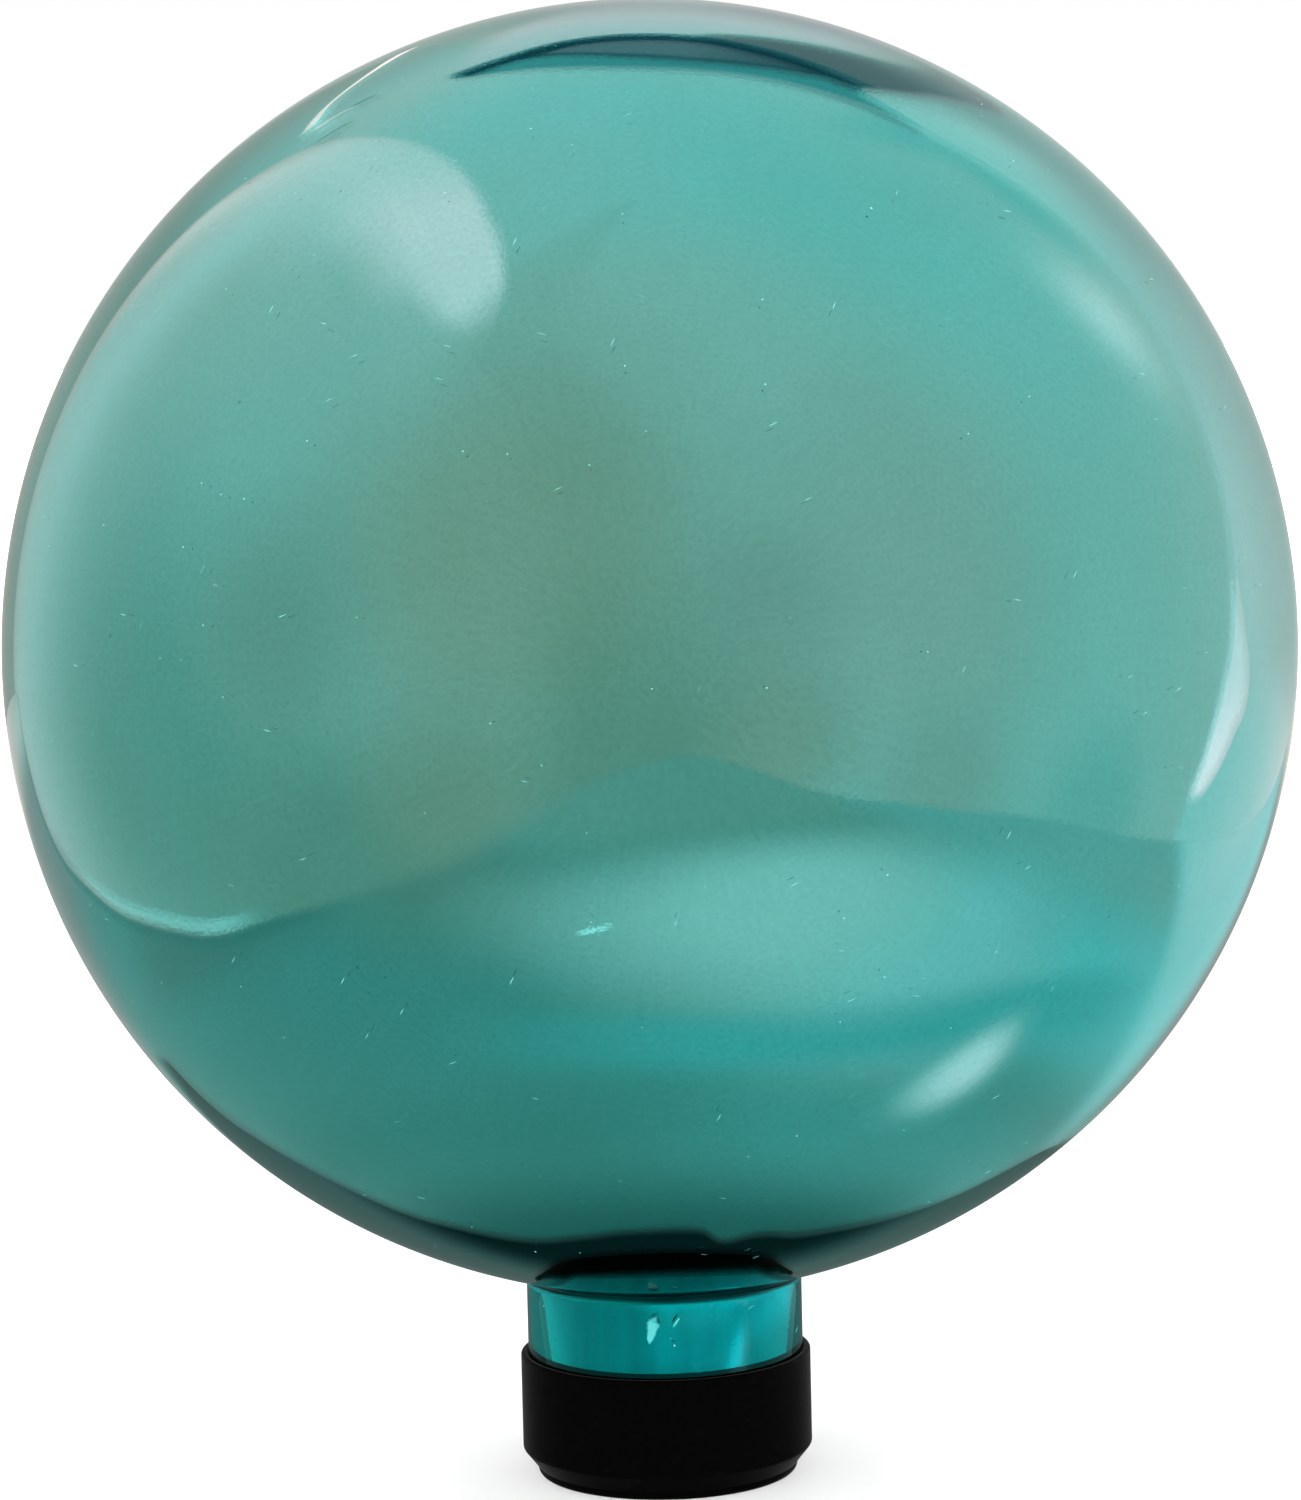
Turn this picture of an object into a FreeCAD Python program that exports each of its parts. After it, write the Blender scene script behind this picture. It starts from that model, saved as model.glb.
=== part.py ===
"""Garden gazing ball: a blown glass globe on a short open neck, silvered inside, with a black rubber cap
pushed onto the neck. The globe and its neck are one piece of tinted glass. The silvering covers the inside
of the ball, runs on down the bore and stops just short of the neck's ground end. The cap closes the neck,
and is the foot that the ball stands on.

Millimetres, +Z up. The origin is the centre of the cap's flat underside, and +Z is the axis of the neck
and the ball. Every piece is a half profile in the XZ plane, turned about +Z.
"""

import FreeCAD, Part
import math
import os

import Sketcher

# The driving sizes. Each one becomes a cell of the sheet, and the pieces are bound to the cells.
SIZES = {
    "ball_diameter": 254.0,  # outside of the glass ball
    "glass_wall": 2.3,  # wall of the ball
    "neck_diameter": 55.0,  # outside of the glass neck
    "neck_wall": 3.0,
    "neck_length": 35.4,  # from the corner under the ball to the ground end of the neck
    "shoulder_fillet": 3.0,  # outside, where the ball turns into the neck
    "throat_round": 3.0,  # inside, where the ball turns into the neck
    "mouth_round": 0.8,  # both edges of the neck's end
    "lining_thickness": 0.3,  # the silver with its protective backing
    "lining_gap": 0.12,  # between the glass and the lining
    "lining_setback": 2.0,  # bare bore between the neck's ground end and the edge of the lining
    "cap_wall": 1.45,
    "cap_clearance": 0.05,  # between the neck and the cap's bore, on the radius
    "cap_floor": 6.0,  # the neck's end stands on it
    "cap_height": 24.7,
    "cap_bevel_width": 3.0,
    "cap_bevel_height": 3.7,
    "cap_lip_height": 1.7,  # the narrow band under the bevel
    "cap_foot_round": 1.2,
    "cap_shoulder_round": 1.2,  # where the side turns into the bevel
    "cap_rim_round": 0.6,
    "cap_mouth_round": 0.4,  # inside edge of the rim
    "cap_corner_round": 0.5,  # where the bore meets the floor
}
NEAR = 1e-4  # how closely an edge has to match the circle that is looked for

# Lengths that several pieces share, as the sheet's own formulas.
BALL_RADIUS = "Sizes.ball_diameter / 2"
NECK_RADIUS = "Sizes.neck_diameter / 2"
BORE_RADIUS = "(Sizes.neck_diameter / 2 - Sizes.neck_wall)"
CENTRE_HEIGHT = (
    "Sizes.cap_floor + Sizes.neck_length"
    " + sqrt((Sizes.ball_diameter / 2) ^ 2 - (Sizes.neck_diameter / 2) ^ 2)"
)
INNER_RADIUS = "Sizes.ball_diameter / 2 - Sizes.glass_wall"
LINING_RADIUS = "Sizes.ball_diameter / 2 - Sizes.glass_wall - Sizes.lining_gap"
LINING_BORE = BORE_RADIUS + " - Sizes.lining_gap"
CAP_BORE = NECK_RADIUS + " + Sizes.cap_clearance"
CAP_RADIUS = CAP_BORE + " + Sizes.cap_wall"


def make_sheet(doc):
    """The sheet of driving sizes, one row each: the name in column A, the value in column B."""
    sheet = doc.addObject("Spreadsheet::Sheet", "Sizes")
    for row, (name, value) in enumerate(SIZES.items(), start=1):
        sheet.set(f"A{row}", name)
        sheet.set(f"B{row}", str(value))
        sheet.setAlias(f"B{row}", name)
    doc.recompute()
    return sheet


def plane_of(body, role):
    return next(f for f in body.Origin.OriginFeatures if f.Role == role)


class Profile:
    """A half profile on a body's XZ plane. Its x is the radius and its y the height."""

    # The sketch's own numbers: its origin and its vertical axis count down from -1, and the points of a
    # line or an arc count up from 1.
    ORIGIN, AXIS = range(-1, -3, -1)
    START, END, CENTRE = range(1, 4)

    def __init__(self, doc, body, name):
        self.sketch = body.newObject("Sketcher::SketchObject", name)
        self.sketch.AttachmentSupport = [(plane_of(body, "XZ_Plane"), "")]
        self.sketch.MapMode = "FlatFace"
        doc.recompute()

    def line(self, start, end):
        ends = [FreeCAD.Vector(x, y, 0) for x, y in (start, end)]
        return self.sketch.addGeometry(Part.LineSegment(*ends))

    def arc(self, height, radius, start_radius):
        """An arc about the axis point at that height, from start_radius below up to the top of the axis."""
        circle = Part.Circle(FreeCAD.Vector(0, height, 0), FreeCAD.Vector(0, 0, 1), radius)
        start = -math.acos(start_radius / radius)
        return self.sketch.addGeometry(Part.ArcOfCircle(circle, start, math.pi / 2))

    def tie(self, kind, *where):
        return self.sketch.addConstraint(Sketcher.Constraint(kind, *where))

    def join(self, a, a_point, b, b_point):
        self.tie("Coincident", a, a_point, b, b_point)

    def on_axis(self, item, point):
        self.tie("PointOnObject", item, point, self.AXIS)

    def size(self, kind, name, formula, *where):
        """A dimension that starts as drawn and then follows the sheet's formula."""
        number = self.tie(kind, *where, value_of(self.sketch.Document, formula))
        self.sketch.renameConstraint(number, name)
        self.sketch.setExpression(f"Constraints.{name}", formula)

    def radius_at(self, name, formula, item, point):
        self.size("DistanceX", name, formula, self.ORIGIN, self.START, item, point)

    def height_at(self, name, formula, item, point):
        self.size("DistanceY", name, formula, self.ORIGIN, self.START, item, point)

    def arc_radius(self, name, formula, item):
        self.size("Radius", name, formula, item)


def value_of(doc, formula):
    """What a formula of the sheet comes to now, as a plain number."""
    return float(doc.getObject("Sizes").evalExpression(formula))


def turn(doc, body, profile, name):
    """Turns a half profile about +Z."""
    feature = body.newObject("PartDesign::Revolution", name)
    feature.Profile = profile.sketch
    feature.ReferenceAxis = (profile.sketch, ["V_Axis"])
    feature.Angle = 360
    doc.recompute()
    return feature


def corner_height(ball_radius, bore_radius):
    """The formula for the height at which a ball meets an upright bore or neck."""
    return f"{CENTRE_HEIGHT} - sqrt(({ball_radius}) ^ 2 - ({bore_radius}) ^ 2)"


def round_edges(doc, body, name, rounding, circles):
    """Rounds the circular edges at these (radius, height) formulas. The rounding is a formula too."""
    base = body.Tip
    wanted = [(value_of(doc, radius), value_of(doc, height)) for radius, height in circles]
    names = []
    for number, edge in enumerate(base.Shape.Edges, start=1):
        if edge.Degenerated or not isinstance(edge.Curve, Part.Circle):
            continue
        found = (edge.Curve.Radius, edge.Curve.Center.z)
        if any(math.dist(found, circle) < NEAR for circle in wanted):
            names.append(f"Edge{number}")
    if len(names) != len(circles):
        raise RuntimeError(f"{name}: {len(names)} edges found for {len(circles)} circles")
    feature = body.newObject("PartDesign::Fillet", name)
    feature.Base = (base, names)
    feature.setExpression("Radius", rounding)
    doc.recompute()
    return feature


def glass_globe(doc):
    """The blown glass: ball and neck in one wall, open at the neck's ground end."""
    body = doc.addObject("PartDesign::Body", "glass_globe")
    profile = Profile(doc, body, "glass_profile")
    start, end, centre = profile.START, profile.END, profile.CENTRE
    middle, ball, inner, neck, bore, mouth = (
        value_of(doc, f)
        for f in (CENTRE_HEIGHT, BALL_RADIUS, INNER_RADIUS, NECK_RADIUS, BORE_RADIUS, "Sizes.cap_floor")
    )
    corner = middle - math.sqrt(ball**2 - neck**2)
    throat = middle - math.sqrt(inner**2 - bore**2)

    outside = profile.arc(middle, ball, neck)
    neck_side = profile.line((neck, corner), (neck, mouth))
    ground_end = profile.line((neck, mouth), (bore, mouth))
    bore_side = profile.line((bore, mouth), (bore, throat))
    inside = profile.arc(middle, inner, bore)
    crown = profile.line((0, middle + inner), (0, middle + ball))

    profile.join(outside, start, neck_side, start)
    profile.join(neck_side, end, ground_end, start)
    profile.join(ground_end, end, bore_side, start)
    profile.join(bore_side, end, inside, start)
    profile.join(inside, end, crown, start)
    profile.join(crown, end, outside, end)
    profile.join(outside, centre, inside, centre)
    profile.tie("Vertical", neck_side)
    profile.tie("Vertical", bore_side)
    profile.tie("Horizontal", ground_end)
    profile.on_axis(outside, centre)
    profile.on_axis(crown, start)
    profile.on_axis(crown, end)
    profile.arc_radius("ball_radius", BALL_RADIUS, outside)
    profile.arc_radius("inner_radius", INNER_RADIUS, inside)
    profile.radius_at("neck_radius", NECK_RADIUS, neck_side, end)
    profile.radius_at("bore_radius", BORE_RADIUS, bore_side, start)
    profile.height_at("mouth_height", "Sizes.cap_floor", ground_end, start)
    profile.size("DistanceY", "neck_length", "Sizes.neck_length", neck_side, end, neck_side, start)
    turn(doc, body, profile, "glass_blown")

    outer_corner = (NECK_RADIUS, corner_height(BALL_RADIUS, NECK_RADIUS))
    inner_corner = (BORE_RADIUS, corner_height(INNER_RADIUS, BORE_RADIUS))
    round_edges(doc, body, "glass_shoulder", "Sizes.shoulder_fillet", [outer_corner])
    round_edges(doc, body, "glass_throat", "Sizes.throat_round", [inner_corner])
    ends = [(NECK_RADIUS, "Sizes.cap_floor"), (BORE_RADIUS, "Sizes.cap_floor")]
    round_edges(doc, body, "glass_mouth", "Sizes.mouth_round", ends)
    return body


def mirror_lining(doc):
    """The silvering: one film on the inside of the ball and of the neck, open at the bottom."""
    body = doc.addObject("PartDesign::Body", "mirror_lining")
    profile = Profile(doc, body, "lining_profile")
    start, end, centre = profile.START, profile.END, profile.CENTRE
    back_radius = LINING_RADIUS + " - Sizes.lining_thickness"
    back_bore = LINING_BORE + " - Sizes.lining_thickness"
    edge_height = "Sizes.cap_floor + Sizes.lining_setback"
    middle, face, back, side, back_side, mouth = (
        value_of(doc, f)
        for f in (CENTRE_HEIGHT, LINING_RADIUS, back_radius, LINING_BORE, back_bore, edge_height)
    )
    corner = middle - math.sqrt(face**2 - side**2)
    back_corner = middle - math.sqrt(back**2 - back_side**2)

    outside = profile.arc(middle, face, side)
    bore_face = profile.line((side, corner), (side, mouth))
    edge = profile.line((side, mouth), (back_side, mouth))
    bore_back = profile.line((back_side, mouth), (back_side, back_corner))
    inside = profile.arc(middle, back, back_side)
    crown = profile.line((0, middle + back), (0, middle + face))

    profile.join(outside, start, bore_face, start)
    profile.join(bore_face, end, edge, start)
    profile.join(edge, end, bore_back, start)
    profile.join(bore_back, end, inside, start)
    profile.join(inside, end, crown, start)
    profile.join(crown, end, outside, end)
    profile.join(outside, centre, inside, centre)
    profile.tie("Vertical", bore_face)
    profile.tie("Vertical", bore_back)
    profile.tie("Horizontal", edge)
    profile.on_axis(outside, centre)
    profile.on_axis(crown, start)
    profile.on_axis(crown, end)
    profile.arc_radius("face_radius", LINING_RADIUS, outside)
    profile.arc_radius("back_radius", back_radius, inside)
    profile.radius_at("bore_face_radius", LINING_BORE, edge, start)
    profile.radius_at("bore_back_radius", back_bore, edge, end)
    profile.height_at("edge_height", edge_height, edge, start)
    profile.height_at("centre_height", CENTRE_HEIGHT, outside, centre)
    turn(doc, body, profile, "lining_film")

    face_corner = (LINING_BORE, corner_height(LINING_RADIUS, LINING_BORE))
    film_corner = (back_bore, corner_height(back_radius, back_bore))
    face_round = "Sizes.throat_round + Sizes.lining_gap"
    round_edges(doc, body, "lining_throat_face", face_round, [face_corner])
    round_edges(doc, body, "lining_throat_back", face_round + " + Sizes.lining_thickness", [film_corner])
    return body


def rubber_cap(doc):
    """The moulded cap: a cup round the neck's end, bevelled to a narrow lip that stands on a flat foot."""
    body = doc.addObject("PartDesign::Body", "rubber_cap")
    profile = Profile(doc, body, "cap_profile")
    start, end = profile.START, profile.END
    lip_radius = CAP_RADIUS + " - Sizes.cap_bevel_width"
    bevel_top = "Sizes.cap_lip_height + Sizes.cap_bevel_height"
    corners = [
        ("0", "0"),
        (lip_radius, "0"),
        (lip_radius, "Sizes.cap_lip_height"),
        (CAP_RADIUS, bevel_top),
        (CAP_RADIUS, "Sizes.cap_height"),
        (CAP_BORE, "Sizes.cap_height"),
        (CAP_BORE, "Sizes.cap_floor"),
        ("0", "Sizes.cap_floor"),
    ]
    points = [(value_of(doc, radius), value_of(doc, height)) for radius, height in corners]
    sides = [profile.line(a, b) for a, b in zip(points, points[1:] + points[:1])]
    for side, following in zip(sides, sides[1:] + sides[:1]):
        profile.join(side, end, following, start)
    foot, lip, bevel, outside, rim, bore, floor, axis = sides
    for level in (foot, rim, floor):
        profile.tie("Horizontal", level)
    for upright in (lip, outside, bore):
        profile.tie("Vertical", upright)
    profile.join(foot, start, profile.ORIGIN, start)
    profile.on_axis(axis, start)
    profile.radius_at("lip_radius", lip_radius, lip, start)
    profile.radius_at("cap_radius", CAP_RADIUS, outside, start)
    profile.radius_at("bore_radius", CAP_BORE, bore, start)
    profile.height_at("lip_height", "Sizes.cap_lip_height", lip, end)
    profile.height_at("bevel_top", bevel_top, outside, start)
    profile.height_at("cap_height", "Sizes.cap_height", outside, end)
    profile.height_at("floor_height", "Sizes.cap_floor", bore, end)
    turn(doc, body, profile, "cap_moulded")

    round_edges(doc, body, "cap_foot", "Sizes.cap_foot_round", [(lip_radius, "0")])
    round_edges(doc, body, "cap_shoulder", "Sizes.cap_shoulder_round", [(CAP_RADIUS, bevel_top)])
    round_edges(doc, body, "cap_rim", "Sizes.cap_rim_round", [(CAP_RADIUS, "Sizes.cap_height")])
    round_edges(doc, body, "cap_mouth", "Sizes.cap_mouth_round", [(CAP_BORE, "Sizes.cap_height")])
    round_edges(doc, body, "cap_corner", "Sizes.cap_corner_round", [(CAP_BORE, "Sizes.cap_floor")])
    return body


def check(doc, bodies):
    """Stops if anything in the document failed, or a piece is not one sound solid."""
    for item in doc.Objects:
        if {"Invalid", "Error"} & set(item.State):
            raise RuntimeError(f"{item.Label} failed: {item.State}")
    for body in bodies:
        shape = body.Shape
        if shape.isNull() or not shape.isValid() or len(shape.Solids) != 1:
            raise RuntimeError(f"{body.Label} is not one sound solid")
        print(f"{body.Label}: {shape.Volume:.1f} mm3")


def main():
    doc = FreeCAD.newDocument("gazing_ball")
    make_sheet(doc)
    bodies = [glass_globe(doc), mirror_lining(doc), rubber_cap(doc)]
    doc.recompute()
    check(doc, bodies)
    os.makedirs("parts", exist_ok=True)
    for body in bodies:
        body.Shape.exportStep(f"parts/{body.Label}.step")
    return doc


main()
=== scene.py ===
"""The looks of the garden gazing ball: blown teal glass, silvered inside, on a black rubber cap.

Metres, +Z up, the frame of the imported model. The glass and the silvering are turned from the real
profile, finely enough for a clean mirror image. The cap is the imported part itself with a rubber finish.
The floor and the room that the ball mirrors are staging.
"""

import math
import bpy
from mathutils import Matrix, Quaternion, Vector


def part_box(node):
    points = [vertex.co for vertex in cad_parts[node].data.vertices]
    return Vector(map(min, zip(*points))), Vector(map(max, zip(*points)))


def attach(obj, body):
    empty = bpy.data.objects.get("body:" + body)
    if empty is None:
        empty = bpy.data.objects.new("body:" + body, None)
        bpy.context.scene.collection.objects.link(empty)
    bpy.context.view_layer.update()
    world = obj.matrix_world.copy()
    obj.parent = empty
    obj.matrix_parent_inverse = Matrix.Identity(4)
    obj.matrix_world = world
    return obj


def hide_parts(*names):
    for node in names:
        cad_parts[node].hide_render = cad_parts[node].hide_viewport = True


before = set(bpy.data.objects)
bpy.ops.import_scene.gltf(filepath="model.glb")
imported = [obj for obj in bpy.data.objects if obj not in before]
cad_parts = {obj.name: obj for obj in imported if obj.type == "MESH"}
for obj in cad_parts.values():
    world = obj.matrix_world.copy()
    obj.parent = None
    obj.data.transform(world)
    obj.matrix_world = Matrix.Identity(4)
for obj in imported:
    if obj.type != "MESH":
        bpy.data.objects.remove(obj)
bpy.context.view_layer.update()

MM = 0.001

# The ball and its neck, from the frame, and the walls that the frame's boxes don't show.
GLASS_LOW, GLASS_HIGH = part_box("glass_globe")
BALL_RADIUS = (GLASS_HIGH.x - GLASS_LOW.x) / 2
CENTRE = Vector((0, 0, GLASS_HIGH.z - BALL_RADIUS))
NECK_END = GLASS_LOW.z
GLASS_WALL = 2.3 * MM
NECK_RADIUS = 27.5 * MM
NECK_WALL = 3.0 * MM
SHOULDER_FILLET = 3.0 * MM
THROAT_ROUND = 3.0 * MM
MOUTH_ROUND = 0.8 * MM
SILVER_THICKNESS = 0.3 * MM
SILVER_SETBACK = 2.0 * MM  # bare bore between the neck's end and the silver's edge
SILVER_BITE = 0.05 * MM  # the silver starts this far inside the glass, so that no air shows between them

# How finely the glass is turned: steps round the axis, and along a quarter of the ball and of a rounding.
TURN_STEPS = 256
BALL_STEPS = 72
ROUND_STEPS = 8
STRAIGHT_STEPS = 16
ON_AXIS = 1e-7
SHARP_EDGE = math.radians(50)

# The photograph's frame and the ball's outline in it, in pixels.
FRAME_WIDTH, FRAME_HEIGHT = 1301, 1500
OUTLINE_CENTRE = (649.8, 648.4)
OUTLINE_RADIUS = 648.5
CAMERA_DISTANCE = 1.0
CAMERA_ELEVATION = math.radians(5.4)
CAMERA_ROLL = math.radians(-1.3)


def point_at(centre, radius, angle):
    """A point of a circle in the half plane of radius and height."""
    return (centre[0] + radius * math.cos(angle), centre[1] + radius * math.sin(angle))


def arc(centre, radius, start, end, steps):
    """Points along a circle from one angle to another, both ends included."""
    return [point_at(centre, radius, start + (end - start) * i / steps) for i in range(steps + 1)]


def straight(start, end):
    """Points between two others, both left out, so that a long side takes no bend from its ends."""
    (x, y), (x_end, y_end) = start, end
    shares = [i / STRAIGHT_STEPS for i in range(1, STRAIGHT_STEPS)]
    return [(x + (x_end - x) * share, y + (y_end - y) * share) for share in shares]


def shoulder(ball_radius, neck_radius, rounding):
    """Centre of the rounding between a ball and a neck, and the ball's angle where the two meet."""
    reach = ball_radius + rounding
    across = neck_radius + rounding
    drop = math.sqrt(reach**2 - across**2)
    return (across, CENTRE.z - drop), -math.acos(across / reach)


def glass_profile():
    """The outline of the glass, from the top of the ball down the outside, and back up the inside."""
    ball = (0, CENTRE.z)
    inner = BALL_RADIUS - GLASS_WALL
    bore = NECK_RADIUS - NECK_WALL
    outer_corner, outer_angle = shoulder(BALL_RADIUS, NECK_RADIUS, SHOULDER_FILLET)
    inner_corner, inner_angle = shoulder(inner, bore, THROAT_ROUND)
    mouth_height = NECK_END + MOUTH_ROUND
    half_turn, quarter = math.pi, math.pi / 2
    return (
        arc(ball, BALL_RADIUS, quarter, outer_angle, 2 * BALL_STEPS)
        + arc(outer_corner, SHOULDER_FILLET, outer_angle + half_turn, half_turn, ROUND_STEPS)[1:]
        + straight((NECK_RADIUS, outer_corner[1]), (NECK_RADIUS, mouth_height))
        + arc((NECK_RADIUS - MOUTH_ROUND, mouth_height), MOUTH_ROUND, 0, -quarter, ROUND_STEPS)
        + arc((bore + MOUTH_ROUND, mouth_height), MOUTH_ROUND, -quarter, -half_turn, ROUND_STEPS)
        + straight((bore, mouth_height), (bore, inner_corner[1]))
        + arc(inner_corner, THROAT_ROUND, half_turn, inner_angle + half_turn, ROUND_STEPS)
        + arc(ball, inner, inner_angle, quarter, 2 * BALL_STEPS)[1:]
    )


def silver_profile():
    """The outline of the silvering, a thin shell inside the ball and the neck, open at the mouth."""
    ball = (0, CENTRE.z)
    face = BALL_RADIUS - GLASS_WALL + SILVER_BITE
    back = face - SILVER_THICKNESS
    bore_face = NECK_RADIUS - NECK_WALL + SILVER_BITE
    bore_back = bore_face - SILVER_THICKNESS
    face_round = THROAT_ROUND - SILVER_BITE
    back_round = face_round + SILVER_THICKNESS
    corner, angle = shoulder(face, bore_face, face_round)
    edge = NECK_END + SILVER_SETBACK
    half_turn, quarter = math.pi, math.pi / 2
    return (
        arc(ball, face, quarter, angle, 2 * BALL_STEPS)
        + arc(corner, face_round, angle + half_turn, half_turn, ROUND_STEPS)[1:]
        + straight((bore_face, corner[1]), (bore_face, edge))
        + [(bore_face, edge), (bore_back, edge)]
        + straight((bore_back, edge), (bore_back, corner[1]))
        + arc(corner, back_round, half_turn, angle + half_turn, ROUND_STEPS)
        + arc(ball, back, angle, quarter, 2 * BALL_STEPS)[1:]
    )


def turned(name, profile):
    """A closed smooth mesh, turned about the axis from a profile that starts and ends on it."""
    vertices, rings = [], []
    for radius, height in profile:
        if radius < ON_AXIS:
            rings.append([len(vertices)] * TURN_STEPS)
            vertices.append((0, 0, height))
            continue
        rings.append([len(vertices) + i for i in range(TURN_STEPS)])
        for i in range(TURN_STEPS):
            angle = 2 * math.pi * i / TURN_STEPS
            vertices.append((radius * math.cos(angle), radius * math.sin(angle), height))
    faces = []
    for upper, lower in zip(rings, rings[1:]):
        for i in range(TURN_STEPS):
            following = (i + 1) % TURN_STEPS
            corners = (upper[i], lower[i], lower[following], upper[following])
            faces.append(tuple(dict.fromkeys(corners)))
    mesh = bpy.data.meshes.new(name)
    mesh.from_pydata(vertices, [], faces)
    mesh.shade_smooth()
    mesh.set_sharp_from_angle(angle=SHARP_EDGE)
    piece = bpy.data.objects.new(name, mesh)
    bpy.context.scene.collection.objects.link(piece)
    return piece


# The stage: the plain floor, and the table top that only the mirror image shows. Its edges are in
# millimetres of plan, (y, x) pairs from the point nearest the camera to the back.
FLOOR_HALF = 6.0
TABLE_HALF = 1.3
TABLE_LEFT_EDGE = (
    (-805, 60),
    (-585, -112),
    (-414, -160),
    (-295, -186),
    (-214, -224),
    (-120, -257),
    (-50, -270),
    (0, -290),
    (50, -309),
    (100, -326),
    (200, -365),
    (341, -412),
    (700, -600),
    (1200, -900),
)
TABLE_RIGHT_EDGE = (
    (-805, 60),
    (-710, 171),
    (-545, 227),
    (-437, 272),
    (-383, 306),
    (-300, 342),
    (-200, 386),
    (-95, 403),
    (43, 405),
    (400, 420),
    (1200, 480),
)
# The shadow of the ball behind its foot: how far back its front edge lies, across the table, in (x, y) pairs.
SHADOW_EDGE = (
    (-185, 150),
    (-150, 100),
    (-128, 58),
    (-100, 22),
    (-70, 0),
    (-58, -9),
    (-37, -21),
    (-22, -34),
    (-9, -41.5),
    (10, -41.5),
    (17, -30),
    (26, -30),
    (37, -20),
    (50, -10),
    (85, 28),
    (108, 66),
    (120, 130),
)

# The mirrored room, in degrees. Behind is how far to the right a direction lies from straight past the ball.
# Where the room's warm middle has its fold: the azimuth at each elevation.
FOLD = ((-14, 4), (18, 5), (34, 0), (45, -9), (52, -20), (58, -34))
# The soft box's top edge: its elevation at each azimuth.
SOFT_BOX_TOP = (
    (-151, 14), (-150, 34), (-146, 46), (-138, 57.5), (-130, 63), (-114, 68.1),
    (-95, 70.4), (-76, 70.4), (-62, 68.2), (-52, 65), (-46, 59.5), (-42, 50),
)
# The side sheet's edges and the inner edge of the bright sliver along it: how far behind at each elevation.
SHEET_NEAR_EDGE = (
    (-17, 66), (-8, 61.3), (-3, 57.5), (5, 53.3), (15, 49),
    (22, 45), (30, 41.2), (36, 39), (40, 36), (43, 32),
)
SHEET_FAR_EDGE = ((0, 0), (12, 11), (18, 16), (24, 19), (30, 21), (36, 22.8), (43, 23))
SLIVER_EDGE = ((-17, 62.5), (-14, 58.5), (-11, 55), (-8, 51.3), (-6, 51.2), (-3, 52.8), (2, 54.5))
# The sides of the lit patch and of the dark wedge beside it: how far behind at each elevation.
PATCH_LEFT = ((10, -3), (20, -4), (28, -9), (35, -13.5), (41, -18))
WEDGE_LEFT = ((14, 9), (18, 11.5), (22, 13), (26, 13.5), (30, 12), (33, 10), (37, 6), (41, 3))
WEDGE_RIGHT = ((14, 13), (18, 16.5), (24, 19), (30, 21), (36, 22.8), (43, 23))
# The dark gap above them, the lens in it and the slot along it: their elevations from left to right.
GAP_TOP = (
    (-19, 42.3), (-16, 46.3), (-12, 49.3), (-7, 52), (0, 53.8), (7, 53.8),
    (13, 52.8), (19, 51), (24, 49), (29, 46.5), (34, 43.2),
)
GAP_FOOT = ((-19, 41.4), (-12, 40.4), (-5, 39.4), (5, 39.1), (14, 39.4), (22, 39.6), (25, 43), (34, 42.2))
LENS_TOP = ((-13, 42.6), (-8, 45.4), (-5, 47.3), (0, 49.2), (6, 49.7), (11, 48.8), (16, 46.6), (21, 42))
SLOT = ((-18, 41.8), (-12, 42.1), (-5, 41), (4, 40.8), (12, 41.6), (17, 41.7), (22, 41))
# The frayed strand above the cord: its elevation from left to right.
STRAND = ((-24.8, 30.9), (-23.4, 31.1), (-22.2, 31.8), (-20.9, 32.8), (-20, 33.5))
# The bright cord: how far behind it hangs at each elevation.
CORD = (
    (13.5, -6.5),
    (15.4, -8.2),
    (18.8, -11),
    (20.8, -13),
    (22, -14.4),
    (24.1, -17.2),
    (26.3, -20.1),
    (28.1, -22.4),
    (29, -23.9),
)

# How bright the studio is for the light that falls on things, and how the backdrop shows.
STUDIO_LIGHT = (2.6, 2.6, 2.6)
BACKDROP = (1.0, 1.0, 1.0)

# The slants of the fine scratches on the glass, in degrees.
SCRATCH_SLANTS = (-62, -24, 15)


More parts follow.
